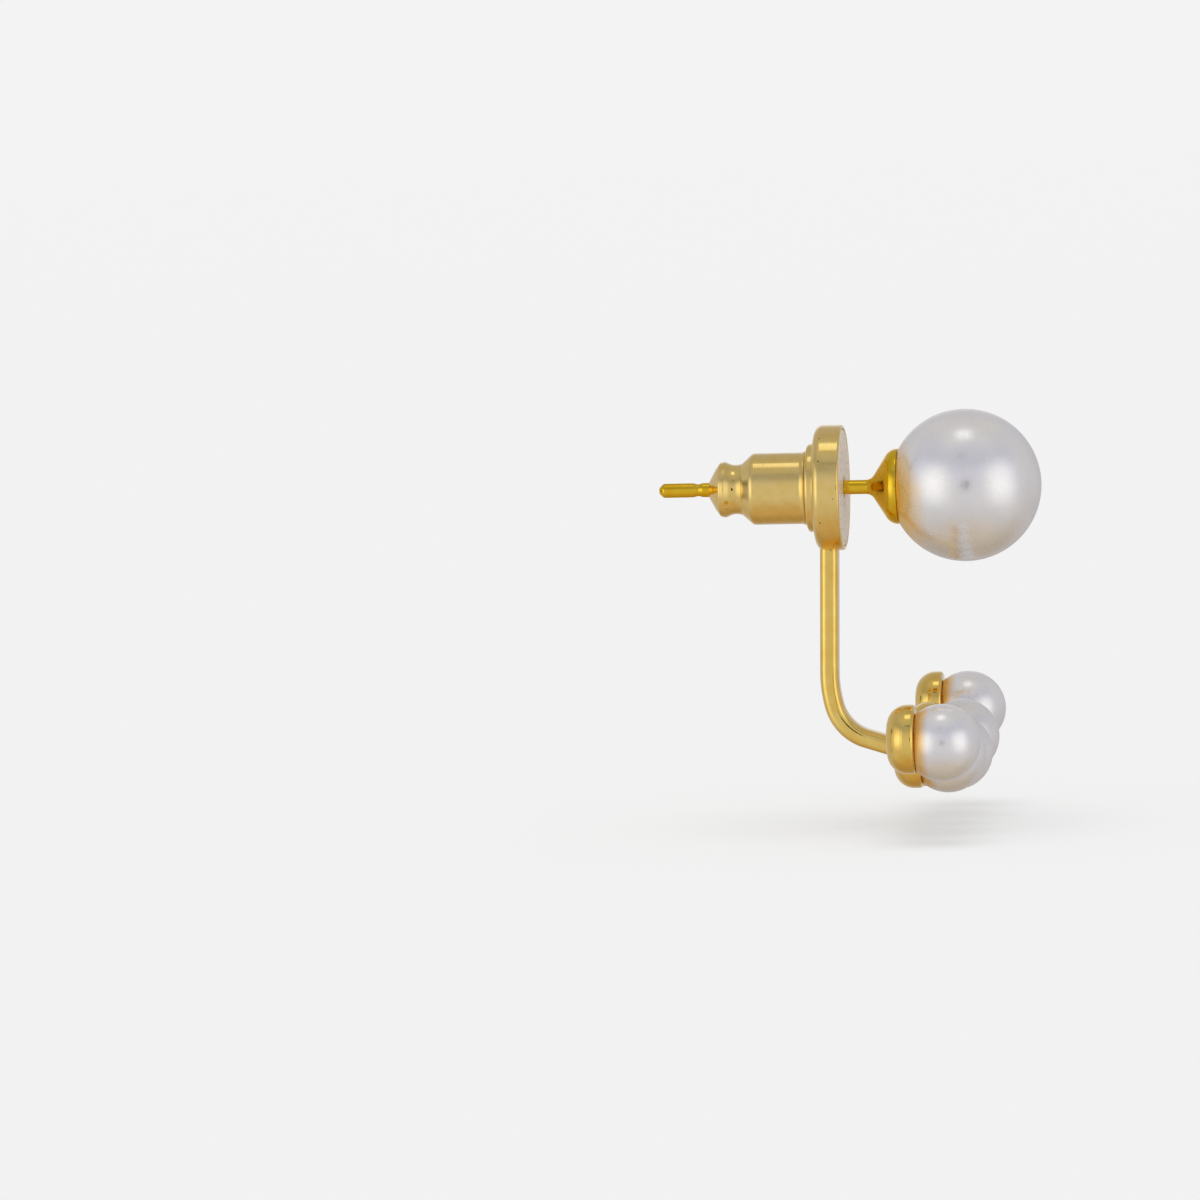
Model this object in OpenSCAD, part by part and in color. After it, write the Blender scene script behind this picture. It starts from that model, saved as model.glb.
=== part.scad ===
// Ear jacket earring. A stud with a large pearl goes through the ear lobe from the front.
// The clutch behind the lobe carries a disc with a hooked arm, which comes forward
// under the lobe and holds a curved row of small pearls.
// Millimetres. The front is -Y and +Z is up. The origin lies on the post's axis,
// halfway through the gap that the ear lobe fills.

/* [Stud] */
// Diameter of the large pearl
main_pearl_d = 8; // [7:0.5:10]
// Distance from the origin forward to the large pearl's centre
main_pearl_front = 5.68; // [5.5:0.01:6]
// Diameter of the post
post_d = 0.75; // [0.6:0.05:0.8]
// Distance from the origin back to the post's tip
post_back = 10.5; // [10:0.05:12]
// Diameter of the cup behind the large pearl
stud_cup_d = 3.96; // [3.4:0.02:4.4]

/* [Clutch and disc] */
// Width of the gap that the ear lobe fills
lobe_gap = 1.42; // [1:0.02:2.4]
// Diameter of the disc
disc_d = 6.6; // [6:0.1:8]
// Thickness of the disc
disc_t = 1.47; // [1.3:0.01:1.8]
// Diameter of the step on the back of the disc
step_d = 4.64; // [4.4:0.02:5]
// Height of that step
step_h = 0.44; // [0.3:0.02:0.6]
// Diameter of the clutch's barrel
barrel_d = 3.77; // [3.6:0.01:4]

/* [Arm] */
// Width of the arm across the ear
arm_w = 1.6; // [1.2:0.05:2]
// Thickness of the arm
arm_t = 1; // [0.8:0.05:1.2]
// Length of the arm's straight upper stretch below the disc
arm_drop = 6.6; // [6:0.02:7]
// Angle by which the arm leans back from upright, in degrees
arm_lean = 1.45; // [0:0.05:3]

/* [Row of small pearls] */
// Diameter of a small pearl
row_pearl_d = 4; // [3.5:0.1:4]
// Number of small pearls
row_count = 5; // [3:2:7]
// Radius of the circle that the row follows, seen from the front
row_radius = 26.3; // [22:0.1:40]
// Angle between neighbouring pearls on that circle
row_step = 9.43; // [9.4:0.01:12]
// Depth of the middle pearl's centre below the post
row_drop = 14.08; // [13.7:0.01:14.7]
// Distance from the origin forward to the middle pearl's centre
row_front = 4.78; // [4.5:0.02:5.1]
// How far the outermost pearls lie in front of the middle one
row_bow = 0.06; // [0:0.01:0.3]
// Diameter of a cup
cup_d = 3.6; // [3.4:0.02:3.8]
// How far the outermost cups sit above their pearls' centres
cup_rise = 0.2; // [0:0.02:0.25]

/* [Hidden] */
fit = 0.03;
turn_fn = 96;
seat_fn = 96;
bend_fn = 180;
edge_fn = 24;
corner_steps = 6;
gold = "#D8A93A";
pearl_white = "#DAD7D4";
silicone = "#D8D0C6";

main_pearl_r = main_pearl_d / 2;
row_pearl_r = row_pearl_d / 2;
post_r = post_d / 2;

// The post is a little loose in the silicone, so that it turns and slides.
grip_bore_r = post_r + fit;
// The hole of the clutch's domed end clears the post by more.
end_bore_r = post_r + 0.07;

// Groove near the post's tip, which the clutch clicks past: a V with a rounded bottom.
groove_front = 8.19;
groove_back = 8.7;
groove_v = 0.07;
groove_round = 0.2;
tip_r = 0.16;
tip_cone = 0.22;

// Peg and drilled hole of each pearl.
main_peg_l = 3;
row_peg_r = 0.3;
row_peg_l = 1.2;
peg_gap = 0.05;

// Cup of the large pearl: it flares out of the post and rounds over to a rim on the pearl.
stud_cup_r = stud_cup_d / 2;
stud_cup_slope = 32.2;
stud_cup_brim = 0.73;
stud_cup_fillet = 0.5;
stud_cup_depth = 1.45;
stud_seat_r = main_pearl_r + fit;
stud_rim_y = -main_pearl_front + sqrt(pow(stud_seat_r, 2) - pow(stud_cup_r, 2));
stud_cone_top = stud_rim_y + stud_cup_depth;
stud_brim_y = stud_cone_top - (stud_cup_r - post_r) * tan(stud_cup_slope);

// Planes of the disc, from front to back.
disc_r = disc_d / 2;
disc_front = lobe_gap / 2;
pad_t = 1.05;
pad_back = disc_front + pad_t;
disc_back = disc_front + disc_t;
step_back = disc_back + step_h;
rim_wall = 0.2;
pad_r = disc_r - rim_wall - fit;
entry_r = 0.6;
entry_l = 0.3;
barrel_r = barrel_d / 2;
spigot_r = 1.68;
core_r = 1.42;

// Turned shape of the clutch: a flare, the barrel, a waist, a ridge and a domed end.
clutch_front = step_back + fit;
flare = 0.1;
flare_l = 0.26;
barrel_back = 5.51;
waist_front = 6.09;
waist_front_r = 1.355;
waist_back = 6.5;
waist_back_r = 1.25;
ridge_front = 6.98;
ridge_front_r = 1.47;
ridge_back = 7.25;
ridge_back_r = 1.42;
dome_mid = 7.48;
dome_mid_r = 1.1;
clutch_back = 7.82;
end_lip = 0.04;
waist_core_r = 0.92;
waist_core_front = 5.1;
waist_core_back = 7.05;

// The arm bends in two stretches, first gently and then tightly. Every second stretch is a
// few thousandths stouter, and its neighbours run a little way into it.
arm_y = 1.56;
arm_lap = 0.17;
arm_top = disc_r - arm_lap;
arm_edge = 0.3;
gentle_r = 6.5;
gentle_angle = 16.26;
tight_r = 2.5;
tight_angle = 57.48;
foot_l = 2.25;
stout = 0.005;
run_in = 0.05;
run_in_angle = 1;

// A row cup, measured back from its pearl's centre.
cup_r = cup_d / 2;
cup_back = 2.81;
cup_rim = 1.33;
cup_lip = 0.18;
cup_corner = 1.05;
row_seat_r = row_pearl_r + fit;
link_h = 1.2;
link_t = 0.8;
link_back = 2.15;
link_dip = 0.15;
peg_root = 0.3;

row_ends = (row_count - 1) / 2;

// Centre of a pearl in the row, counted from the middle one.
function row_place(k) = [
    row_radius * sin(k * row_step),
    -row_front - row_bow * pow(k / row_ends, 2),
    -row_drop + row_radius * (1 - cos(k * row_step))
];

// Centre of the cup that belongs to it.
function cup_place(k) = row_place(k) + [0, 0, cup_rise * pow(k / row_ends, 2)];

// A rounded corner: the arc of the given radius that touches both sides of b.
function unit(v) = v / norm(v);
function turn(a) = a > 180 ? a - 360 : a < -180 ? a + 360 : a;
function corner_arc(a, b, c, radius) =
    radius == 0 ? [b] :
    let (
        u = unit(a - b),
        v = unit(c - b),
        half = acos(u * v) / 2,
        centre = b + unit(u + v) * radius / sin(half),
        from = b + u * radius / tan(half) - centre,
        to = b + v * radius / tan(half) - centre,
        start = atan2(from.y, from.x),
        sweep = turn(atan2(to.y, to.x) - start)
    )
    [for (i = [0 : corner_steps])
        let (angle = start + sweep * i / corner_steps)
        centre + radius * [cos(angle), sin(angle)]];

// An outline from rows of [across, along, corner radius].
function outline(rows) = [
    for (i = [0 : len(rows) - 1])
        let (
            n = len(rows),
            before = rows[(i + n - 1) % n],
            here = rows[i],
            after = rows[(i + 1) % n]
        )
        each corner_arc([before.x, before.y], [here.x, here.y], [after.x, after.y], here.z)
];

// A turned piece round the post's axis, from rows of [radius, y, corner radius].
module turned(rows) {
    rotate([-90, 0, 0])
        rotate_extrude($fn = turn_fn)
            polygon(outline(rows));
}

// A round bar along +Y.
module rod(r, from, to) {
    translate([0, from, 0])
        rotate([-90, 0, 0])
            cylinder(r = r, h = to - from, $fn = turn_fn);
}

// A pearl with the blind hole for its peg, centred on its own origin.
module drilled_pearl(r, hole_r, hole_l) {
    color(pearl_white)
        difference() {
            sphere(r = r, $fn = seat_fn);
            rod(hole_r, r - hole_l, r + 1);
        }
}

module main_pearl() {
    translate([0, -main_pearl_front, 0])
        drilled_pearl(main_pearl_r, post_r + peg_gap, main_peg_l + peg_gap);
}

module stud_post() {
    color(gold) {
        difference() {
            turned([
                [0, post_back, 0],
                [tip_r, post_back, 0.05],
                [post_r, post_back - tip_cone, 0.2],
                [post_r, groove_back, 0],
                [post_r - groove_v, (groove_front + groove_back) / 2, groove_round],
                [post_r, groove_front, 0],
                [post_r, stud_cone_top, stud_cup_fillet],
                [stud_cup_r, stud_brim_y, stud_cup_brim],
                [stud_cup_r, -main_pearl_front, 0],
                [0, -main_pearl_front, 0]
            ]);
            translate([0, -main_pearl_front, 0])
                sphere(r = stud_seat_r, $fn = seat_fn);
        }
        rod(post_r, main_pearl_r - main_peg_l - main_pearl_front, 0);
    }
}

// The pad fills the disc and the core fills the clutch. The hole widens where the post goes in.
module silicone_grip() {
    color(silicone)
        turned([
            [entry_r, disc_front, 0],
            [pad_r, disc_front, 0.12],
            [pad_r, pad_back - fit, 0],
            [core_r, pad_back - fit, 0],
            [core_r, waist_core_front, 0],
            [waist_core_r, waist_core_front, 0],
            [waist_core_r, waist_core_back, 0],
            [grip_bore_r, waist_core_back, 0],
            [grip_bore_r, disc_front + entry_l, 0]
        ]);
}

module bullet_clutch() {
    color(gold)
        turned([
            [core_r + fit, pad_back + fit, 0],
            [spigot_r, pad_back + fit, 0],
            [spigot_r, clutch_front, 0],
            [barrel_r + flare, clutch_front, 0.08],
            [barrel_r, clutch_front + flare_l, 0.2],
            [barrel_r, barrel_back, 0.35],
            [waist_front_r, waist_front, 0],
            [waist_back_r, waist_back, 0.8],
            [ridge_front_r, ridge_front, 0.1],
            [ridge_back_r, ridge_back, 0.15],
            [dome_mid_r, dome_mid, 1],
            [end_bore_r + end_lip, clutch_back, 0.1],
            [end_bore_r, clutch_back, 0],
            [end_bore_r, waist_core_back + fit, 0],
            [waist_core_r + fit, waist_core_back + fit, 0],
            [waist_core_r + fit, waist_core_front + fit, 0],
            [core_r + fit, waist_core_front + fit, 0]
        ]);
}

module disc() {
    turned([
        [spigot_r + fit, pad_back, 0],
        [disc_r - rim_wall, pad_back, 0],
        [disc_r - rim_wall, disc_front, 0.06],
        [disc_r, disc_front, 0.12],
        [disc_r, disc_back, 0.42],
        [step_d / 2, disc_back, 0.08],
        [step_d / 2, step_back, 0.16],
        [spigot_r + fit, step_back, 0]
    ]);
}

// The arm's section: a flat bar with round edges, its thickness along x.
module arm_section(grow) {
    flat = arm_t - 2 * arm_edge;
    broad = arm_w - 2 * arm_edge;
    square([arm_t + 2 * grow, broad], center = true);
    square([flat, arm_w + 2 * grow], center = true);
    for (sx = [-1, 1], sy = [-1, 1])
        translate([sx * flat / 2, sy * broad / 2])
            circle(r = arm_edge + grow, $fn = edge_fn);
}

// A straight stretch along local +y.
module straight(l, grow) {
    rotate([-90, 0, 0])
        linear_extrude(l)
            arm_section(grow);
}

// A bend from local +y towards local -x. Children carry on where it ends.
module bend(r, angle, lap, grow) {
    translate([-r, 0, 0]) {
        rotate(-lap)
            rotate_extrude(angle = angle + 2 * lap, $fn = bend_fn)
                translate([r, 0])
                    arm_section(grow);
        rotate(angle)
            translate([r, 0, 0])
                children();
    }
}

// The arm is laid out with local x to the back of the ear and local y down.
module arm() {
    rotate([-90, 0, 90])
        translate([arm_y, arm_top, 0])
            rotate(-arm_lean) {
                straight(arm_drop + run_in, 0);
                translate([0, arm_drop, 0])
                    bend(gentle_r, gentle_angle, 0, stout)
                        bend(tight_r, tight_angle, run_in_angle, 0)
                            straight(foot_l, stout);
            }
}

module row_cup() {
    turned([
        [0, cup_rim, 0],
        [cup_r, cup_rim, cup_lip],
        [cup_r, cup_back, cup_corner],
        [0, cup_back, 0]
    ]);
}

// A flat link from one cup's centre to the next.
module link(a, b) {
    span = b - a;
    translate((a + b) / 2 + [0, link_back, -link_dip])
        rotate([0, -atan2(span.z, span.x), 0])
            cube([norm(span), link_t, link_h], center = true);
}

module jacket_frame() {
    color(gold) {
        disc();
        difference() {
            union() {
                arm();
                for (k = [-row_ends : row_ends])
                    translate(cup_place(k))
                        row_cup();
                for (k = [-row_ends : row_ends - 1])
                    link(row_place(k), row_place(k + 1));
            }
            for (k = [-row_ends : row_ends])
                translate(row_place(k))
                    sphere(r = row_seat_r, $fn = seat_fn);
        }
        for (k = [-row_ends : row_ends])
            translate(row_place(k))
                rod(row_peg_r, row_pearl_r - row_peg_l, row_pearl_r + peg_root);
    }
}

module bar_pearl(k) {
    translate(row_place(k))
        drilled_pearl(row_pearl_r, row_peg_r + peg_gap, row_peg_l + peg_gap);
}

main_pearl();
stud_post();
silicone_grip();
bullet_clutch();
jacket_frame();
for (i = [1 : row_count])
    bar_pearl(i - 1 - row_ends);
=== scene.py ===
# Ear jacket earring: lacquered pearls, gold-plated brass and a silicone grip.
# The dictionaries hold millimetres and degrees where no note says otherwise. Meshes are in metres.
import math
import bmesh
import bpy
import numpy as np
from mathutils import Matrix, Vector


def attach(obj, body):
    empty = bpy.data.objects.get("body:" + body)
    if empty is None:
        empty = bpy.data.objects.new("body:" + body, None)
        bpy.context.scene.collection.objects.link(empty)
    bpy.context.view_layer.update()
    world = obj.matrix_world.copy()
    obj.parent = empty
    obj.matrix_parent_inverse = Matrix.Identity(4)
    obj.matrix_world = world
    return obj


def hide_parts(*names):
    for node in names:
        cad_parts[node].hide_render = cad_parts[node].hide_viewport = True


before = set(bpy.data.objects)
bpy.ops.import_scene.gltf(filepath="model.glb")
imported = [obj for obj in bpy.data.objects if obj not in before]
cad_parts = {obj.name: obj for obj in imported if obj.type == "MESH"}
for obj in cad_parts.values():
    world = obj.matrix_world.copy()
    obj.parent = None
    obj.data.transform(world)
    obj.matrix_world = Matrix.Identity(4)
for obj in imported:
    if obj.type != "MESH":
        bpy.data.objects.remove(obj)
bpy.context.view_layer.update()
mm = 0.001
scene = bpy.context.scene
print("frame loaded:", len(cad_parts), "nodes")


# The camera stands where the photograph's side view was taken from.
cameraView = {"azimuth": -82.389, "elevation": 5.076, "roll": -1.7, "distance": 400.0,
              "pxPerMm": 19.0, "originPx": (857.65, 487.07), "imagePx": 1200,
              "sensor": 36, "nearest": 10, "farthest": 20000}

turnAngle = math.radians(cameraView["azimuth"])
tiltAngle = math.radians(cameraView["elevation"])
rollAngle = math.radians(cameraView["roll"])
# level and steep are the picture's right and up before the roll
level = Vector((math.cos(turnAngle), math.sin(turnAngle), 0))
steep = Vector((-math.sin(turnAngle) * math.sin(tiltAngle),
                math.cos(turnAngle) * math.sin(tiltAngle), math.cos(tiltAngle)))
viewRight = level * math.cos(rollAngle) + steep * math.sin(rollAngle)
viewUp = steep * math.cos(rollAngle) - level * math.sin(rollAngle)
viewBack = viewRight.cross(viewUp)
# the picture's middle is aimed so that the earring's origin falls on originPx
middle = cameraView["imagePx"] / 2
aimPoint = (viewRight * (middle - cameraView["originPx"][0])
            + viewUp * (cameraView["originPx"][1] - middle)) / cameraView["pxPerMm"] * mm
camera = bpy.data.objects.new("camera", bpy.data.cameras.new("camera"))
scene.collection.objects.link(camera)
camera.data.sensor_width = cameraView["sensor"]
camera.data.lens = (cameraView["sensor"] * cameraView["distance"] * cameraView["pxPerMm"]
                    / cameraView["imagePx"])
camera.data.clip_start = cameraView["nearest"] * mm
camera.data.clip_end = cameraView["farthest"] * mm
camera.matrix_world = Matrix((
    *[(right, up, back, aim + back * cameraView["distance"] * mm)
      for right, up, back, aim in zip(viewRight, viewUp, viewBack, aimPoint)], (0, 0, 0, 1)))
scene.camera = camera
scene.view_settings.view_transform = "Standard"  # the photograph's whites clip plainly
print("camera set")


def hexLinear(text):
    # sRGB hex to linear red, green and blue by the sRGB standard's curve, plus alpha
    raw = np.array([int(text[i:i + 2], 16) for i in (1, 3, 5)]) / 255
    return (*np.where(raw <= 0.04045, raw / 12.92, ((raw + 0.055) / 1.055) ** 2.4), 1.0)


def addNode(tree, kind, feeds=None, stops=None, **settings):
    # A node, its settings, a value or a link for each input named in feeds, and for a colour
    # ramp its stops, each a place and a colour.
    node = tree.nodes.new(kind)
    for name, value in settings.items():
        setattr(node, name, value)
    for name, value in (feeds or {}).items():
        if isinstance(value, bpy.types.NodeSocket):
            tree.links.new(value, node.inputs[name])
        else:
            node.inputs[name].default_value = value
    if stops:
        elements = node.color_ramp.elements
        while len(elements) < len(stops):
            elements.new(1.0)
        for element, (place, colour) in zip(elements, stops):
            element.position, element.color = place, colour
    return node


def startMaterial(name):
    material = bpy.data.materials.new(name)
    material.use_nodes = True
    material.node_tree.nodes.clear()
    return material, material.node_tree


# In the materials, roughness is a range that a pattern runs through, and a noise stays mostly
# between 0.3 and 0.7. A colour mix has its factor at input 0, its colours at inputs 6 and 7 and
# its result at output 2.
pearlLook = {"body": "#EFECE9", "shade": "#E9E7E7", "cloud": 1.6, "cloudBand": (0.35, 0.65),
             "metallic": 0.74, "roughness": (0.21, 0.28), "ior": 1.52,
             "edgeTint": (0.8, 0.79, 0.82, 1), "ripple": 0.2, "rippleHeight": 0.0006,
             "gloss": 0.12, "glossRoughness": 0.09, "glossIor": 1.5}
# painted reflection of the gold cup on the pearls: its colour, the place along Y where it is full,
# how far it fades, and how much less far it reaches above the post
mainCupReflection = {"tint": "#FCC83C", "seatY": -2.2, "reach": 1.74, "lean": 0.45}
rowCupReflection = {"tint": "#ECC27C", "seatY": -3.85, "reach": 0.42, "lean": 0.0}


def pearlLacquer(name, paintedCupReflection):
    # Imitation pearl: a glass bead dipped in pearl essence and clear lacquer. The flakes lie
    # flat and mirror most of the light, softly, under a thin even gloss. Beside the rim, the gold
    # cup's reflection is painted into the colour: fully behind the place seatY along the post,
    # fading over the reach in front of it, and less far above the post, by the lean.
    look = pearlLook
    material, tree = startMaterial(name)
    place = addNode(tree, "ShaderNodeTexCoord").outputs["Object"]
    parts = addNode(tree, "ShaderNodeSeparateXYZ", {"Vector": place})
    above = addNode(tree, "ShaderNodeMath", {0: parts.outputs["Z"], 1: 0.0}, operation="MAXIMUM")
    along = addNode(tree, "ShaderNodeMath", {
        0: above.outputs[0], 1: -paintedCupReflection["lean"], 2: parts.outputs["Y"]}, operation="MULTIPLY_ADD")
    paintedReflectionShare = addNode(tree, "ShaderNodeMapRange", {
        "Value": along.outputs[0], "From Min": (paintedCupReflection["seatY"] - paintedCupReflection["reach"]) * mm,
        "From Max": paintedCupReflection["seatY"] * mm, "To Min": 0.0, "To Max": 1.0})
    cloud = addNode(tree, "ShaderNodeTexNoise", {
        "Vector": place, "Scale": 1 / (look["cloud"] * mm), "Detail": 3.0, "Roughness": 0.5})
    tone = addNode(tree, "ShaderNodeValToRGB", {"Fac": cloud.outputs["Fac"]}, [
        (look["cloudBand"][0], hexLinear(look["shade"])),
        (look["cloudBand"][1], hexLinear(look["body"]))])
    # beside the cup the colour turns to the painted reflection of the gold cup
    skin = addNode(tree, "ShaderNodeMix", {
        0: paintedReflectionShare.outputs["Result"], 6: tone.outputs["Color"], 7: hexLinear(paintedCupReflection["tint"])},
        data_type="RGBA")
    # dipped lacquer is never quite even: ripples less than a thousandth of a millimetre high
    ripple = addNode(tree, "ShaderNodeTexNoise", {
        "Vector": place, "Scale": 1 / (look["ripple"] * mm), "Detail": 2.0})
    soft = addNode(tree, "ShaderNodeMapRange", {
        "Value": ripple.outputs["Fac"], "From Min": 0.3, "From Max": 0.7,
        "To Min": look["roughness"][0], "To Max": look["roughness"][1]})
    bump = addNode(tree, "ShaderNodeBump", {
        "Height": ripple.outputs["Fac"], "Strength": 0.1, "Distance": look["rippleHeight"] * mm})
    surface = addNode(tree, "ShaderNodeBsdfPrincipled", {
        "Base Color": skin.outputs[2], "Metallic": look["metallic"],
        "Roughness": soft.outputs["Result"], "IOR": look["ior"],
        "Specular Tint": look["edgeTint"], "Coat Weight": look["gloss"],
        "Coat Roughness": look["glossRoughness"], "Coat IOR": look["glossIor"],
        "Normal": bump.outputs["Normal"]})
    addNode(tree, "ShaderNodeOutputMaterial", {"Surface": surface.outputs["BSDF"]})
    return material


platingLook = {"edgeTint": (1.0, 0.9, 0.66, 1), "lacquerRoughness": 0.04}
jacketGold = {"deep": "#F3C958", "pale": "#F9D76C", "cloud": 0.9, "cloudBand": (0.35, 0.65),
              "cloudHeight": 0.02, "scuff": 0.07, "scuffHeight": 0.0015,
              "roughness": (0.03, 0.14), "lacquer": 1.0}
studGold = {"deep": "#EEBE24", "pale": "#F4CB3C", "cloud": 0.7, "cloudBand": (0.35, 0.65),
            "cloudHeight": 0.02, "scuff": 0.07, "scuffHeight": 0.0015,
            "roughness": (0.02, 0.13), "lacquer": 0.0}


def polishedGold(name, look):
    # Gold plating over cast brass, tumbled and polished: a yellow mirror, a little wavy, with
    # hairline marks from the tumbling, which are drawn coarser than real ones so that they show.
    # The jacket's clear lacquer whitens its highlights; the stud's plating is bare and deeper.
    # The edge tint keeps edges seen at a slant golden.
    material, tree = startMaterial(name)
    place = addNode(tree, "ShaderNodeTexCoord").outputs["Object"]
    cloud = addNode(tree, "ShaderNodeTexNoise", {
        "Vector": place, "Scale": 1 / (look["cloud"] * mm), "Detail": 4.0, "Roughness": 0.55})
    tone = addNode(tree, "ShaderNodeValToRGB", {"Fac": cloud.outputs["Fac"]}, [
        (look["cloudBand"][0], hexLinear(look["deep"])),
        (look["cloudBand"][1], hexLinear(look["pale"]))])
    scuff = addNode(tree, "ShaderNodeTexNoise", {
        "Vector": place, "Scale": 1 / (look["scuff"] * mm), "Detail": 5.0, "Roughness": 0.7})
    gloss = addNode(tree, "ShaderNodeMapRange", {
        "Value": scuff.outputs["Fac"], "From Min": 0.3, "From Max": 0.75,
        "To Min": look["roughness"][0], "To Max": look["roughness"][1]})
    wave = addNode(tree, "ShaderNodeBump", {
        "Height": cloud.outputs["Fac"], "Strength": 0.5, "Distance": look["cloudHeight"] * mm})
    fine = addNode(tree, "ShaderNodeBump", {
        "Height": scuff.outputs["Fac"], "Strength": 0.3, "Distance": look["scuffHeight"] * mm,
        "Normal": wave.outputs["Normal"]})
    surface = addNode(tree, "ShaderNodeBsdfPrincipled", {
        "Base Color": tone.outputs["Color"], "Metallic": 1.0, "Roughness": gloss.outputs["Result"],
        "Specular Tint": platingLook["edgeTint"], "Coat Weight": look["lacquer"],
        "Coat Roughness": platingLook["lacquerRoughness"], "Normal": fine.outputs["Normal"]})
    addNode(tree, "ShaderNodeOutputMaterial", {"Surface": surface.outputs["BSDF"]})
    return material


turnedLook = {"deep": "#F3D070", "pale": "#F8D880", "dust": "#4A3510", "roughness": (0.07, 0.17),
              "ring": 0.09, "ringHeight": 0.003, "cloud": 0.5, "cloudBand": (0.35, 0.62),
              "cloudHeight": 0.01, "pitSpacing": 0.8, "pitEdge": (0.035, 0.07), "lacquer": 1.0}


def turnedGold():
    # Gold plating over brass turned on a lathe, lacquered: the tool leaves fine rings round the
    # axis, so highlights stay bright along the piece and soften across it. Real rings are finer:
    # these are as coarse as they need to show.
    look = turnedLook
    material, tree = startMaterial("gold plating on turned brass")
    place = addNode(tree, "ShaderNodeTexCoord").outputs["Object"]
    cloud = addNode(tree, "ShaderNodeTexNoise", {
        "Vector": place, "Scale": 1 / (look["cloud"] * mm), "Detail": 5.0, "Roughness": 0.6})
    tone = addNode(tree, "ShaderNodeValToRGB", {"Fac": cloud.outputs["Fac"]}, [
        (look["cloudBand"][0], hexLinear(look["deep"])),
        (look["cloudBand"][1], hexLinear(look["pale"]))])
    # the wave's angle is twenty times its scaled coordinate, and one turn of it makes one ring
    rings = addNode(tree, "ShaderNodeTexWave", {
        "Vector": place, "Scale": 2 * math.pi / (20 * look["ring"] * mm), "Distortion": 0.8,
        "Detail": 2.0, "Detail Scale": 0.4}, wave_type="BANDS", bands_direction="Y")
    gloss = addNode(tree, "ShaderNodeMapRange", {
        "Value": cloud.outputs["Fac"], "From Min": 0.3, "From Max": 0.7,
        "To Min": look["roughness"][0], "To Max": look["roughness"][1]})
    dents = addNode(tree, "ShaderNodeBump", {
        "Height": cloud.outputs["Fac"], "Strength": 0.15, "Distance": look["cloudHeight"] * mm})
    tooled = addNode(tree, "ShaderNodeBump", {
        "Height": rings.outputs["Fac"], "Strength": 0.1, "Distance": look["ringHeight"] * mm,
        "Normal": dents.outputs["Normal"]})
    # a few specks of polish and dust stay in pits of the plating
    cells = addNode(tree, "ShaderNodeTexVoronoi", {
        "Vector": place, "Scale": 1 / (look["pitSpacing"] * mm), "Randomness": 1.0})
    pits = addNode(tree, "ShaderNodeValToRGB", {"Fac": cells.outputs["Distance"]}, [
        (look["pitEdge"][0], (1, 1, 1, 1)), (look["pitEdge"][1], (0, 0, 0, 1))])
    skin = addNode(tree, "ShaderNodeMix", {
        0: pits.outputs["Color"], 6: tone.outputs["Color"], 7: hexLinear(look["dust"])},
        data_type="RGBA")
    surface = addNode(tree, "ShaderNodeBsdfPrincipled", {
        "Base Color": skin.outputs[2], "Metallic": 1.0, "Roughness": gloss.outputs["Result"],
        "Specular Tint": platingLook["edgeTint"], "Coat Weight": look["lacquer"],
        "Coat Roughness": platingLook["lacquerRoughness"], "Normal": tooled.outputs["Normal"]})
    addNode(tree, "ShaderNodeOutputMaterial", {"Surface": surface.outputs["BSDF"]})
    return material


siliconeLook = {"body": "#DDD0BC", "speck": "#453F37", "speckSpacing": 0.35,
                "speckEdge": (0.13, 0.21), "haze": 0.4, "hazeHeight": 0.004,
                "roughness": (0.25, 0.38), "ior": 1.41, "sinkShare": 0.35, "sinkDepth": 0.4,
                "sinkColour": (1.0, 0.9, 0.75)}


def mouldedSilicone():
    # Clear silicone rubber, moulded and slightly hazy: light sinks in a little, the face has a
    # soft gloss, and dust in it shows as sparse dark specks.
    look = siliconeLook
    material, tree = startMaterial("moulded silicone")
    place = addNode(tree, "ShaderNodeTexCoord").outputs["Object"]
    cells = addNode(tree, "ShaderNodeTexVoronoi", {
        "Vector": place, "Scale": 1 / (look["speckSpacing"] * mm), "Randomness": 1.0})
    specks = addNode(tree, "ShaderNodeValToRGB", {"Fac": cells.outputs["Distance"]}, [
        (look["speckEdge"][0], hexLinear(look["speck"])),
        (look["speckEdge"][1], hexLinear(look["body"]))])
    haze = addNode(tree, "ShaderNodeTexNoise", {
        "Vector": place, "Scale": 1 / (look["haze"] * mm), "Detail": 3.0})
    gloss = addNode(tree, "ShaderNodeMapRange", {
        "Value": haze.outputs["Fac"], "From Min": 0.3, "From Max": 0.7,
        "To Min": look["roughness"][0], "To Max": look["roughness"][1]})
    bump = addNode(tree, "ShaderNodeBump", {
        "Height": haze.outputs["Fac"], "Strength": 0.2, "Distance": look["hazeHeight"] * mm})
    surface = addNode(tree, "ShaderNodeBsdfPrincipled", {
        "Base Color": specks.outputs["Color"], "Roughness": gloss.outputs["Result"],
        "IOR": look["ior"], "Subsurface Weight": look["sinkShare"],
        "Subsurface Radius": look["sinkColour"], "Subsurface Scale": look["sinkDepth"] * mm,
        "Normal": bump.outputs["Normal"]})
    addNode(tree, "ShaderNodeOutputMaterial", {"Surface": surface.outputs["BSDF"]})
    return material


mainPearlMaterial = pearlLacquer("pearl lacquer on glass", mainCupReflection)
rowPearlMaterial = pearlLacquer("pearl lacquer on glass row", rowCupReflection)
goldMaterial = polishedGold("polished gold plating", jacketGold)
studMaterial = polishedGold("deep polished gold plating", studGold)
turnedMaterial = turnedGold()
siliconeMaterial = mouldedSilicone()
print("materials made")


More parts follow.
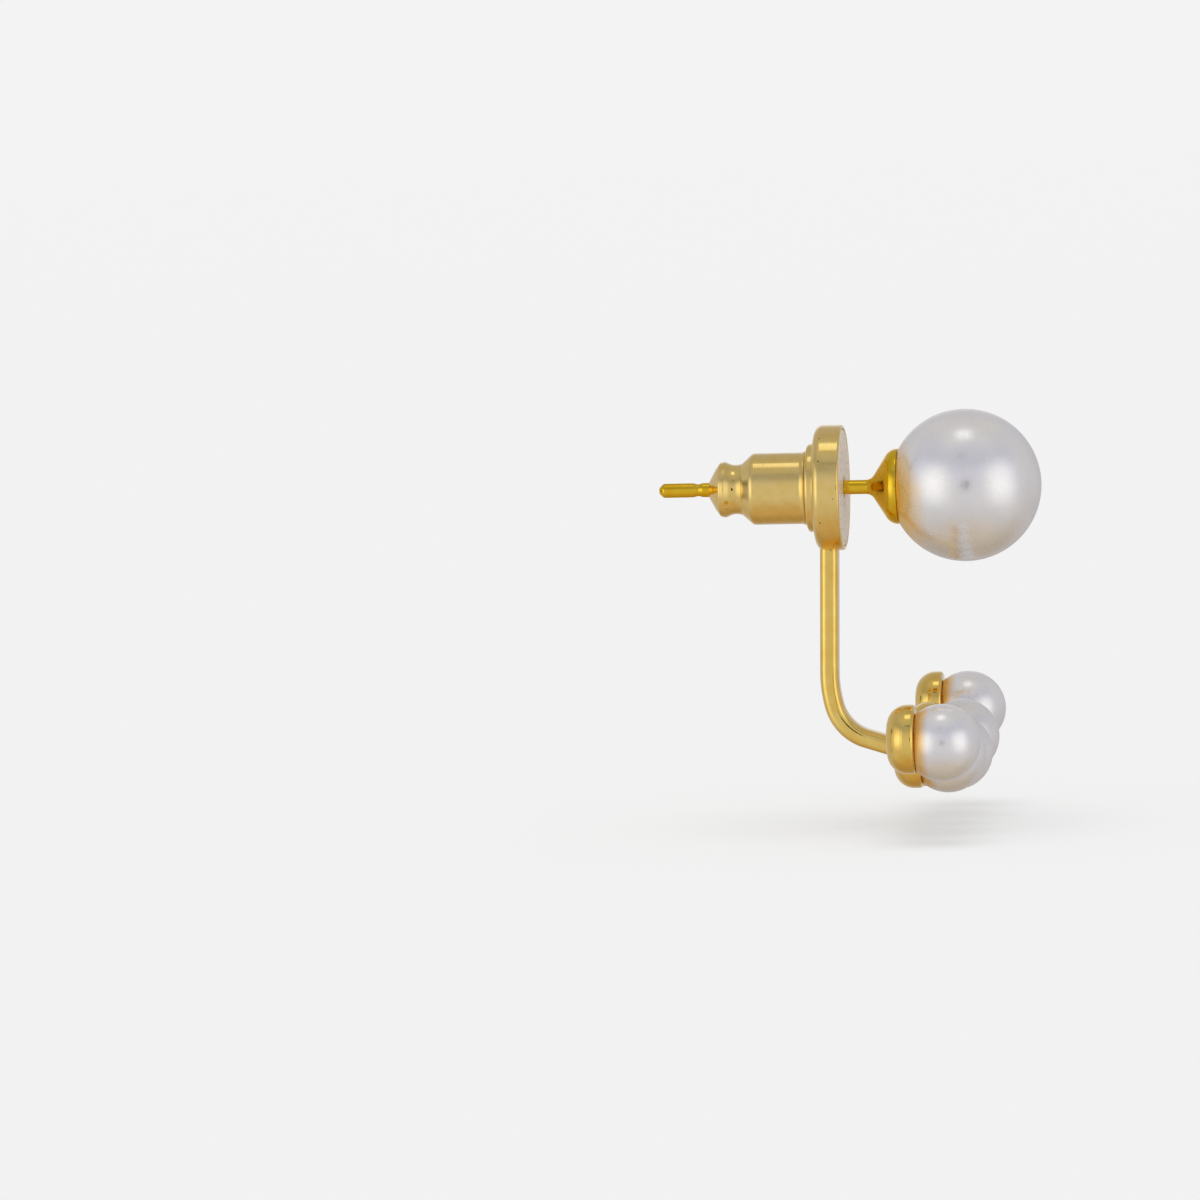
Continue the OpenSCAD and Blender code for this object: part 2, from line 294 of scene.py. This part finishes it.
def roundedOutline(rows, arcSteps=12):
    # Rows are (radius, along, rounding). Each corner is swapped for the arc that touches both of
    # its sides: its centre lies on the corner's bisector, rounding / sin(half angle) away, and
    # it starts rounding / tan(half angle) from the corner.
    rows = np.array(rows, float)
    corners = []
    for before, here, after in zip(np.roll(rows, 1, 0), rows, np.roll(rows, -1, 0)):
        if here[2] == 0:
            corners.append(here[None, :2])
            continue
        u = (before - here)[:2] / np.linalg.norm((before - here)[:2])
        v = (after - here)[:2] / np.linalg.norm((after - here)[:2])
        half = math.acos(u @ v) / 2
        centre = here[:2] + (u + v) / np.linalg.norm(u + v) * here[2] / math.sin(half)
        start = here[:2] + u * here[2] / math.tan(half) - centre
        end = here[:2] + v * here[2] / math.tan(half) - centre
        first = math.atan2(start[1], start[0])
        sweep = (math.atan2(end[1], end[0]) - first + math.pi) % (2 * math.pi) - math.pi
        angle = first + sweep * np.linspace(0, 1, arcSteps + 1)
        corners.append(centre + here[2] * np.stack([np.cos(angle), np.sin(angle)], axis=1))
    return np.concatenate(corners)


def fillOutline(points, spacing, closed):
    # Points are added along the straight stretches, one each spacing, so that they shade flat.
    if closed:
        points = np.concatenate([points, points[:1]])
    run = np.concatenate([[0], np.cumsum(np.linalg.norm(np.diff(points, axis=0), axis=1))])
    stops = np.union1d(run, np.arange(0, run[-1], spacing))
    filled = np.stack([np.interp(stops, run, points[:, 0]),
                       np.interp(stops, run, points[:, 1])], axis=1)
    return filled[:-1] if closed else filled


def gridFaces(rows, columns, closedRows):
    # Quads between neighbouring rows of a grid whose columns run round and close.
    i = np.arange(rows if closedRows else rows - 1)[:, None]
    j = np.arange(columns)[None, :]
    below, beside = (i + 1) % rows, (j + 1) % columns
    return np.stack([i * columns + j, i * columns + beside, below * columns + beside,
                     below * columns + j], axis=2).reshape(-1, 4)


def turned(outline, centre, around, closed):
    # The outline's radius r and place y, carried round the Y axis by the angle t:
    # x = r cos t, y = y, z = r sin t, moved to the centre.
    t = np.linspace(0, 2 * math.pi, around, endpoint=False)[None, :]
    r, y = outline[:, 0][:, None], outline[:, 1][:, None]
    grid = np.stack([r * np.cos(t), y + 0 * t, r * np.sin(t)], axis=2) + np.array(centre)
    return grid.reshape(-1, 3), gridFaces(len(outline), around, closed)


def swept(section, path, across):
    # The section's u stands along the path's normal and its v along the across direction:
    # point = path + u * normal + v * across. A ring of size nought closes each end.
    section = np.concatenate([[0 * section], [section] * len(path), [0 * section]])
    path = np.concatenate([path[:1], path, path[-1:]])
    tangent = np.gradient(path, axis=0)
    tangent[0], tangent[-1] = tangent[1], tangent[-2]
    tangent /= np.linalg.norm(tangent, axis=1, keepdims=True)
    normal = np.cross(across, tangent)
    grid = (path[:, None, :] + section[:, :, :1] * normal[:, None, :]
            + section[:, :, 1:] * np.array(across)[None, None, :])
    return grid.reshape(-1, 3), gridFaces(grid.shape[0], grid.shape[1], False)


def squircle(halfU, halfV, power, around):
    # |u / halfU| ^ power + |v / halfV| ^ power = 1, a bar with domed faces and soft edges
    t = np.linspace(0, 2 * math.pi, around, endpoint=False)
    c, s = np.cos(t), np.sin(t)
    size = (np.abs(c) ** power + np.abs(s) ** power) ** (-1 / power)
    return np.stack([halfU * size * c, halfV * size * s], axis=1)


def arc(centreAlong, radius, fromAngle, toAngle, count):
    # Outline points on a sphere's section, by the angle a from its back pole:
    # r = radius sin a, along = centre + radius cos a.
    a = np.radians(np.linspace(fromAngle, toAngle, count))
    return np.stack([radius * np.sin(a), centreAlong + radius * np.cos(a)], axis=1)


mergeReach = {"doubles": 2e-7, "slivers": 1e-8}  # metres


def makePiece(name, shells, material, body, nodes):
    # One mesh of one or more closed shells, in metres, in the place of its CAD nodes. A pole or
    # a closed end starts as a ring of points in one place, which the merge makes one point.
    points = np.concatenate([shell[0] for shell in shells]) * mm
    starts = np.cumsum([0] + [len(shell[0]) for shell in shells[:-1]])
    faces = np.concatenate([shell[1] + start for shell, start in zip(shells, starts)])
    mesh = bpy.data.meshes.new(name)
    mesh.vertices.add(len(points))
    mesh.vertices.foreach_set("co", points.ravel())
    mesh.loops.add(faces.size)
    mesh.loops.foreach_set("vertex_index", faces.ravel().astype(np.int32))
    mesh.polygons.add(len(faces))
    mesh.polygons.foreach_set("loop_start", np.arange(0, faces.size, 4, dtype=np.int32))
    mesh.update(calc_edges=True)
    work = bmesh.new()
    work.from_mesh(mesh)
    bmesh.ops.remove_doubles(work, verts=work.verts, dist=mergeReach["doubles"])
    bmesh.ops.dissolve_degenerate(work, edges=work.edges, dist=mergeReach["slivers"])
    bmesh.ops.recalc_face_normals(work, faces=work.faces)
    work.to_mesh(mesh)
    work.free()
    mesh.polygons.foreach_set("use_smooth", np.ones(len(mesh.polygons), bool))
    mesh.materials.append(material)
    piece = bpy.data.objects.new(name, mesh)
    scene.collection.objects.link(piece)
    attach(piece, body)
    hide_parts(*nodes)
    print("made", name, len(mesh.polygons), "faces")


# Pearls: round beads, each with a blind hole behind. The row's pearls are counted from the middle
# one, from -ends to ends.
mainPearl = {"radius": 4.0, "front": 5.68, "holeRadius": 0.425, "holeDepth": 3.05,
             "around": 192, "skinPoints": 120}
rowPearl = {"radius": 2.0, "holeRadius": 0.35, "holeDepth": 1.25, "around": 144,
            "skinPoints": 120}
row = {"ends": 2, "circle": 26.3, "step": 9.43, "drop": 14.08, "front": 4.78, "bow": 0.06,
       "cupRise": 0.2}
rowSteps = range(-row["ends"], row["ends"] + 1)


def beadOutline(bead):
    # from the front pole round to the hole's mouth, down its wall and across its floor
    mouth = math.degrees(math.asin(bead["holeRadius"] / bead["radius"]))
    skin = arc(0, bead["radius"], 180, mouth, bead["skinPoints"])
    holeFloor = bead["radius"] - bead["holeDepth"]
    return np.concatenate([skin, [[bead["holeRadius"], holeFloor], [0, holeFloor]]])


def rowPlace(k):
    # The k-th pearl from the middle: on a circle seen from the front, by k steps of its angle,
    # and bowed forward by the square of its share of the way to the end.
    a = math.radians(k * row["step"])
    return np.array([row["circle"] * math.sin(a),
                     -row["front"] - row["bow"] * (k / row["ends"]) ** 2,
                     -row["drop"] + row["circle"] * (1 - math.cos(a))])


makePiece("mainPearl", [turned(beadOutline(mainPearl), (0, -mainPearl["front"], 0),
                               mainPearl["around"], False)],
          mainPearlMaterial, "stud", ["main_pearl"])
for k in rowSteps:
    number = str(k + row["ends"] + 1)
    makePiece("rowPearl_" + number, [turned(beadOutline(rowPearl), rowPlace(k),
                                            rowPearl["around"], False)],
              rowPearlMaterial, "jacket", ["bar_pearl_" + number])


# Stud: post with a groove near its tip, flared cup, and the peg in the large pearl.
stud = {"postRadius": 0.375, "tip": 10.5, "tipRadius": 0.16, "tipCone": 0.22, "tipEdge": 0.05,
        "tipShoulder": 0.2, "grooveFront": 8.19, "grooveBack": 8.7, "grooveDepth": 0.07,
        "grooveRound": 0.2, "grooveEdge": 0.03, "cupRadius": 1.98, "seatRadius": 4.03,
        "cupDepth": 1.45, "slope": 32.2, "brim": 0.73, "fillet": 0.5, "rimEdge": 0.015,
        "rimAngle": 0.6, "pegEnd": -4.68, "around": 128, "spacing": 0.06, "seatPoints": 40}


def studOutline(s):
    # From the post's tip forward to the cup's rim, back over the seat, which is a sphere round
    # the pearl's centre, and forward again along the peg. The cup's cone rises at the slope.
    rim = -mainPearl["front"] + math.sqrt(s["seatRadius"] ** 2 - s["cupRadius"] ** 2)
    coneTop = rim + s["cupDepth"]
    brim = coneTop - (s["cupRadius"] - s["postRadius"]) * math.tan(math.radians(s["slope"]))
    grooveMiddle = (s["grooveFront"] + s["grooveBack"]) / 2
    outside = roundedOutline([
        (0, s["tip"], 0), (s["tipRadius"], s["tip"], s["tipEdge"]),
        (s["postRadius"], s["tip"] - s["tipCone"], s["tipShoulder"]),
        (s["postRadius"], s["grooveBack"], s["grooveEdge"]),
        (s["postRadius"] - s["grooveDepth"], grooveMiddle, s["grooveRound"]),
        (s["postRadius"], s["grooveFront"], s["grooveEdge"]),
        (s["postRadius"], coneTop, s["fillet"]), (s["cupRadius"], brim, s["brim"]),
        (s["cupRadius"], -mainPearl["front"], 0), (0, -mainPearl["front"], 0)])[:-2]
    outside = outside[outside[:, 1] > rim]
    outside = np.concatenate([outside, [[s["cupRadius"] - s["rimEdge"], rim]]])
    wide = math.degrees(math.asin(s["cupRadius"] / s["seatRadius"])) - s["rimAngle"]
    narrow = math.degrees(math.asin(s["postRadius"] / s["seatRadius"]))
    seat = arc(-mainPearl["front"], s["seatRadius"], wide, narrow, s["seatPoints"])
    return np.concatenate([outside, seat, [[s["postRadius"], s["pegEnd"]], [0, s["pegEnd"]]]])


makePiece("studPost", [turned(fillOutline(studOutline(stud), stud["spacing"], False), (0, 0, 0),
                              stud["around"], False)],
          studMaterial, "stud", ["stud_post"])


# Silicone grip: pad in the disc, core in the clutch.
grip = {"bore": 0.405, "entry": 0.6, "entryDepth": 0.3, "entryRound": 0.04, "padRadius": 3.07,
        "padRound": 0.12, "padFront": 0.71, "padBack": 1.73, "core": 1.42, "waistFront": 5.1,
        "waistBack": 7.05, "waistCore": 0.92, "around": 160, "spacing": 0.08}
gripOutline = roundedOutline([
    (grip["entry"], grip["padFront"], grip["entryRound"]),
    (grip["padRadius"], grip["padFront"], grip["padRound"]),
    (grip["padRadius"], grip["padBack"], 0), (grip["core"], grip["padBack"], 0),
    (grip["core"], grip["waistFront"], 0), (grip["waistCore"], grip["waistFront"], 0),
    (grip["waistCore"], grip["waistBack"], 0), (grip["bore"], grip["waistBack"], 0),
    (grip["bore"], grip["padFront"] + grip["entryDepth"], 0)])
makePiece("siliconeGrip", [turned(fillOutline(gripOutline, grip["spacing"], True), (0, 0, 0),
                                  grip["around"], True)],
          siliconeMaterial, "grip", ["silicone_grip"])


# Clutch: spigot, flare, barrel, waist, ridge and domed end. A corner in brackets is its radius,
# its place along the post and its rounding. The hollow and the neck hold the silicone.
clutch = {"spigot": 1.68, "spigotFront": 1.79, "front": 2.65, "flare": 0.1, "flareLength": 0.26,
          "flareRound": 0.09, "flareFoot": 0.2, "barrel": 1.885, "barrelBack": 5.51,
          "shoulder": 0.35, "waistFront": (1.355, 6.09, 0.1), "waistBack": (1.25, 6.5, 0.8),
          "ridgeFront": (1.47, 6.98, 0.1), "ridgeBack": (1.42, 7.25, 0.15),
          "domeMiddle": (1.1, 7.48, 1.0), "back": 7.82, "endBore": 0.445, "lip": 0.04,
          "lipRound": 0.1, "hollow": 1.45, "hollowBack": 5.13, "neck": 0.95, "neckBack": 7.08,
          "around": 192, "spacing": 0.06}
clutchOutline = roundedOutline([
    (clutch["hollow"], clutch["spigotFront"], 0), (clutch["spigot"], clutch["spigotFront"], 0),
    (clutch["spigot"], clutch["front"], 0),
    (clutch["barrel"] + clutch["flare"], clutch["front"], clutch["flareRound"]),
    (clutch["barrel"], clutch["front"] + clutch["flareLength"], clutch["flareFoot"]),
    (clutch["barrel"], clutch["barrelBack"], clutch["shoulder"]),
    clutch["waistFront"], clutch["waistBack"], clutch["ridgeFront"], clutch["ridgeBack"],
    clutch["domeMiddle"], (clutch["endBore"] + clutch["lip"], clutch["back"], clutch["lipRound"]),
    (clutch["endBore"], clutch["back"], 0), (clutch["endBore"], clutch["neckBack"], 0),
    (clutch["neck"], clutch["neckBack"], 0), (clutch["neck"], clutch["hollowBack"], 0),
    (clutch["hollow"], clutch["hollowBack"], 0)])
makePiece("bulletClutch", [turned(fillOutline(clutchOutline, clutch["spacing"], True), (0, 0, 0),
                                  clutch["around"], True)],
          turnedMaterial, "jacket", ["bullet_clutch"])


# Disc: a shallow dish round the pad, with a step behind for the clutch.
disc = {"radius": 3.3, "front": 0.71, "back": 2.18, "padBack": 1.76, "wall": 0.2,
        "wallInside": 0.06, "wallOutside": 0.12, "edge": 0.42, "stepFoot": 0.08, "step": 2.32,
        "stepBack": 2.62, "stepRound": 0.16, "hole": 1.71, "around": 224, "spacing": 0.06}
discOutline = roundedOutline([
    (disc["hole"], disc["padBack"], 0), (disc["radius"] - disc["wall"], disc["padBack"], 0),
    (disc["radius"] - disc["wall"], disc["front"], disc["wallInside"]),
    (disc["radius"], disc["front"], disc["wallOutside"]),
    (disc["radius"], disc["back"], disc["edge"]), (disc["step"], disc["back"], disc["stepFoot"]),
    (disc["step"], disc["stepBack"], disc["stepRound"]), (disc["hole"], disc["stepBack"], 0)])
makePiece("clutchDisc", [turned(fillOutline(discOutline, disc["spacing"], True), (0, 0, 0),
                                disc["around"], True)],
          turnedMaterial, "jacket", ["jacket_frame"])


# Arm: a hooked bar. Its stretches are (length, 0, 0) if straight or (0, radius, angle) if bent.
arm = {"back": 1.56, "top": -3.13, "lean": 1.45, "thick": 1.0, "wide": 1.6, "power": 3.2,
       "stretches": [(6.6, 0, 0), (0, 6.5, 16.26), (0, 2.5, 57.48), (2.25, 0, 0)],
       "around": 96, "straightSteps": 40, "bendSteps": 48}


def armCentreLine(a):
    # Straight stretches and arcs one after the other. The heading h turns from straight down
    # towards the front: a step along it moves by (0, -sin h, -cos h).
    points, heading = [np.array([[0, a["back"], a["top"]]])], -math.radians(a["lean"])
    for length, radius, angle in a["stretches"]:
        start = points[-1][-1]
        if radius:
            h = heading + np.radians(np.linspace(0, angle, a["bendSteps"] + 1)[1:])
            step = np.stack([0 * h, np.cos(h) - math.cos(heading),
                             math.sin(heading) - np.sin(h)], axis=1) * radius
            heading += math.radians(angle)
        else:
            run = np.linspace(0, length, a["straightSteps"] + 1)[1:, None]
            step = run * np.array([[0, -math.sin(heading), -math.cos(heading)]])
        points.append(start + step)
    return np.concatenate(points)


armSection = squircle(arm["thick"] / 2, arm["wide"] / 2, arm["power"], arm["around"])
makePiece("hookArm", [swept(armSection, armCentreLine(arm), (1, 0, 0))],
          goldMaterial, "jacket", ["jacket_frame"])


# Cups and the links between them, placed from the row's pearls.
cup = {"radius": 1.8, "rim": 1.33, "back": 2.81, "corner": 1.05, "lip": 0.18, "seat": 2.03,
       "rimEdge": 0.016, "around": 144, "spacing": 0.05, "seatPoints": 31}
link = {"back": 2.15, "high": 1.2, "thick": 0.8, "dip": 0.15, "power": 6.0, "around": 64,
        "steps": 24}


def cupShell(k):
    # The outside is turned round the cup's axis, which lies the rise above the pearl's, and the
    # seat round the pearl's own centre. Where the two come close, the lip keeps outside the seat.
    rise = row["cupRise"] * (k / row["ends"]) ** 2
    inner = math.sqrt(cup["seat"] ** 2 - cup["rim"] ** 2) + cup["rimEdge"]
    outline = roundedOutline([
        (0, cup["back"], 0), (cup["radius"], cup["back"], cup["corner"]),
        (cup["radius"], cup["rim"], cup["lip"]), (inner, cup["rim"], 0), (0, cup["rim"], 0)])[:-2]
    outline = np.concatenate([fillOutline(outline, cup["spacing"], False), [[inner, cup["rim"]]]])
    mouth = math.degrees(math.acos(cup["rim"] / cup["seat"]))
    seat = arc(0, cup["seat"], mouth, 0, cup["seatPoints"])
    points, faces = turned(np.concatenate([outline, seat]), (0, 0, 0), cup["around"], False)
    outside = points[:(len(outline) - 1) * cup["around"]]  # a view, up to the rim's inner edge
    outside[:, 2] += rise
    reach = np.hypot(outside[:, 0], outside[:, 2])
    short = (outside[:, 1] < cup["rim"] + cup["lip"]) & (reach < inner)
    widen = inner / reach[short]
    outside[short] *= np.stack([widen, 1 + 0 * widen, widen], axis=1)
    return points + rowPlace(k), faces


def linkShell(k):
    # A flat bar with soft edges from one cup's centre to the next. Its height stands across its
    # run, seen from the front.
    low = np.array([0, link["back"], -link["dip"]])
    start, end = rowPlace(k) + low, rowPlace(k + 1) + low
    run = end - start
    up = np.array([-run[2], 0, run[0]]) / math.hypot(run[0], run[2])
    path = start + run * np.linspace(0, 1, link["steps"] + 1)[:, None]
    section = squircle(link["thick"] / 2, link["high"] / 2, link["power"], link["around"])
    return swept(section, path, up)


makePiece("rowCups", [cupShell(k) for k in rowSteps],
          goldMaterial, "jacket", ["jacket_frame"])
makePiece("cupLinks", [linkShell(k) for k in rowSteps[:-1]],
          goldMaterial, "jacket", ["jacket_frame"])


# Studio: a pale floor and backdrop, a light overhead, soft boxes and the room. The floor's place
# is in millimetres and all other studio sizes are in metres.
studio = {"floor": -17.87, "reach": 1.1, "pale": 0.896, "floorTone": 0.3, "overhead": 0.45,
          "overheadSpread": 42.0, "ringPoints": 96, "domeRows": 25}
white = (1, 1, 1, 1)


def addStage(name, points, faces, material):
    mesh = bpy.data.meshes.new(name)
    mesh.from_pydata(points, [], faces)
    mesh.materials.append(material)
    thing = bpy.data.objects.new(name, mesh)
    scene.collection.objects.link(thing)
    return thing


def paleFloor():
    # Matt painted board that takes a faint shadow. Its own glow makes up what its matt share
    # gives back too little of, so that it is as bright as the backdrop.
    material, tree = startMaterial("matt painted board")
    lit = studio["floorTone"] * (studio["pale"] + studio["overhead"])
    surface = addNode(tree, "ShaderNodeBsdfPrincipled", {
        "Base Color": (*[studio["floorTone"]] * 3, 1), "Roughness": 1.0, "Specular IOR Level": 0.0,
        "Emission Color": white, "Emission Strength": studio["pale"] - lit})
    addNode(tree, "ShaderNodeOutputMaterial", {"Surface": surface.outputs["BSDF"]})
    material.cycles.emission_sampling = "NONE"
    return material


def plainGlow(name, strength):
    material, tree = startMaterial(name)
    glow = addNode(tree, "ShaderNodeEmission", {"Color": white, "Strength": strength})
    addNode(tree, "ShaderNodeOutputMaterial", {"Surface": glow.outputs["Emission"]})
    material.cycles.emission_sampling = "NONE"
    return material


def ring(radius):
    # points at radius (cos t, sin t, 0)
    t = np.linspace(0, 2 * math.pi, studio["ringPoints"], endpoint=False)
    return np.stack([np.cos(t), np.sin(t), 0 * t], axis=1) * radius


ringFace = [list(range(studio["ringPoints"]))]
floorHeight = np.array([0, 0, studio["floor"] * mm])
floor = addStage("floor", (ring(studio["reach"]) + floorHeight).tolist(), ringFace, paleFloor())
floor.visible_glossy = False  # mirrors see the room's table tones in its place

# The backdrop is a dome over the floor: (cos e cos t, cos e sin t, sin e) by the elevation e. It
# fills the picture and lights matt surfaces. Mirrors see the room past it.
domeTilt = np.linspace(0, math.pi / 2, studio["domeRows"])[:, None, None]
domeGrid = ring(studio["reach"]) * np.cos(domeTilt) + floorHeight
domeGrid = domeGrid + np.array([0, 0, studio["reach"]]) * np.sin(domeTilt)
backdrop = addStage("backdrop", domeGrid.reshape(-1, 3).tolist(),
                    gridFaces(studio["domeRows"], studio["ringPoints"], False).tolist(),
                    plainGlow("backdrop paper", studio["pale"]))
backdrop.visible_glossy = backdrop.visible_shadow = False

# straight down, for the shadow on the floor: a matt surface turns strength / pi into brightness
overhead = bpy.data.objects.new("overhead", bpy.data.lights.new("overhead", "SUN"))
overhead.data.energy = studio["overhead"] * math.pi
overhead.data.angle = math.radians(studio["overheadSpread"])
overhead.visible_glossy = False
scene.collection.objects.link(overhead)

# Azimuth and elevation from the object in degrees, distance and half sizes in metres, brightness,
# and the share of the half size over which the cloth is evenly bright. flagLeft is dimmer than
# the room behind it.
softBoxes = {
    "boxLeft": (-136.5, 4, 0.6, 0.43, 0.47, 1.2, 0.04),
    "boxRight": (-28.5, 4, 0.6, 0.43, 0.47, 1.2, 0.04),
    "boxBack": (97.6, 8, 0.6, 0.24, 0.26, 0.75, 0.2),
    "boxTop": (-82.4, 86.5, 0.6, 0.12, 0.12, 1.16, 0.5),
    "flagLeft": (176.0, 5, 0.62, 0.055, 0.50, 0.2, 0.1),
}

# dark round things at the camera: radius and place from it in metres, brightness and finish
darkDiscs = {
    "lensHood": (0.048, (0, 0, 0.02), 0.02, "black lens hood"),
    "boomClamp": (0.045, (-0.06, 0.42, 0.02), 0.1, "dark clamp"),
}


def mirrorOnly(thing):
    thing.visible_camera = thing.visible_diffuse = thing.visible_shadow = False


def softBoxCloth(name, halfWide, halfHigh, strength, even):
    # the cloth glows most in the middle and fades towards its frame
    material, tree = startMaterial(name + " cloth")
    place = addNode(tree, "ShaderNodeTexCoord").outputs["Object"]
    parts = addNode(tree, "ShaderNodeSeparateXYZ", {"Vector": place})
    fades = []
    for axis, half in (("X", halfWide), ("Y", halfHigh)):
        size = addNode(tree, "ShaderNodeMath", {0: parts.outputs[axis]}, operation="ABSOLUTE")
        fades.append(addNode(tree, "ShaderNodeMapRange", {
            "Value": size.outputs[0], "From Min": half * even, "From Max": half,
            "To Min": 1.0, "To Max": 0.0}, interpolation_type="SMOOTHSTEP").outputs["Result"])
    both = addNode(tree, "ShaderNodeMath", {0: fades[0], 1: fades[1]}, operation="MULTIPLY")
    glow = addNode(tree, "ShaderNodeEmission", {"Color": white, "Strength": strength})
    clear = addNode(tree, "ShaderNodeBsdfTransparent")
    cloth = addNode(tree, "ShaderNodeMixShader", {
        0: both.outputs[0], 1: clear.outputs["BSDF"], 2: glow.outputs["Emission"]})
    addNode(tree, "ShaderNodeOutputMaterial", {"Surface": cloth.outputs["Shader"]})
    return material


def standPanel(name, azimuth, elevation, distance, halfWide, halfHigh, material):
    # a flat panel that faces the object from its azimuth and elevation
    a, e = math.radians(azimuth), math.radians(elevation)
    away = Vector((math.sin(a) * math.cos(e), -math.cos(a) * math.cos(e), math.sin(e)))
    panel = addStage(name, [(-halfWide, -halfHigh, 0), (halfWide, -halfHigh, 0),
                            (halfWide, halfHigh, 0), (-halfWide, halfHigh, 0)],
                     [(0, 1, 2, 3)], material)
    panel.rotation_mode = "QUATERNION"
    panel.rotation_quaternion = away.to_track_quat("Z", "Y")
    panel.location = away * distance
    mirrorOnly(panel)


for name, (azimuth, elevation, distance, halfWide, halfHigh, strength, even) in softBoxes.items():
    standPanel(name, azimuth, elevation, distance, halfWide, halfHigh,
               softBoxCloth(name, halfWide, halfHigh, strength, even))

for name, (radius, place, strength, finish) in darkDiscs.items():
    darkDisc = addStage(name, ring(radius).tolist(), ringFace, plainGlow(finish, strength))
    darkDisc.matrix_world = camera.matrix_world @ Matrix.Translation(place)
    mirrorOnly(darkDisc)

# The room as mirrors see it: by height, brighter at eye level on its front side, which lies
# towards minus X, than on its rear side, and darker and bluer above. Below lies the table, a
# little warm. A tone is its height, from 0 straight down to 1 straight up, and its linear red,
# green and blue.
room = {
    "turnX": (-0.2, 0.5),  # the share of X from which and up to which the front turns to the rear
    "front": [(0.0, 0.55, 0.43, 0.29), (0.06, 0.57, 0.47, 0.37), (0.11, 0.58, 0.52, 0.46),
              (0.17, 0.61, 0.58, 0.58), (0.30, 0.64, 0.63, 0.66), (0.45, 0.65, 0.64, 0.68),
              (0.57, 0.65, 0.64, 0.70), (0.66, 0.61, 0.61, 0.69), (0.73, 0.54, 0.55, 0.66),
              (0.80, 0.42, 0.43, 0.53), (0.865, 0.42, 0.44, 0.53), (0.925, 0.49, 0.49, 0.55),
              (0.97, 0.54, 0.53, 0.54)],
    "rear": [(0.0, 0.40, 0.30, 0.17), (0.14, 0.43, 0.34, 0.23), (0.28, 0.54, 0.50, 0.48),
             (0.5, 0.57, 0.56, 0.59), (0.75, 0.50, 0.49, 0.52), (0.95, 0.47, 0.45, 0.44)],
}
world = bpy.data.worlds.new("studio room")
world.use_nodes = True
world.cycles.sampling_method = "NONE"
tree = world.node_tree
tree.nodes.clear()
direction = addNode(tree, "ShaderNodeTexCoord").outputs["Generated"]
parts = addNode(tree, "ShaderNodeSeparateXYZ", {"Vector": direction})
height = addNode(tree, "ShaderNodeMapRange", {
    "Value": parts.outputs["Z"], "From Min": -1.0, "From Max": 1.0})
front, rear = [addNode(tree, "ShaderNodeValToRGB", {"Fac": height.outputs["Result"]},
                       [(stop, (*tone, 1)) for stop, *tone in room[side]]).outputs["Color"]
               for side in ("front", "rear")]
turn = addNode(tree, "ShaderNodeMapRange", {
    "Value": parts.outputs["X"], "From Min": room["turnX"][0], "From Max": room["turnX"][1]},
    interpolation_type="SMOOTHSTEP")
roomTone = addNode(tree, "ShaderNodeMix", {0: turn.outputs["Result"], 6: front, 7: rear},
                   data_type="RGBA")
roomLight = addNode(tree, "ShaderNodeBackground", {"Color": roomTone.outputs[2], "Strength": 1.0})
addNode(tree, "ShaderNodeOutputWorld", {"Surface": roomLight.outputs["Background"]})
scene.world = world
print("studio set")
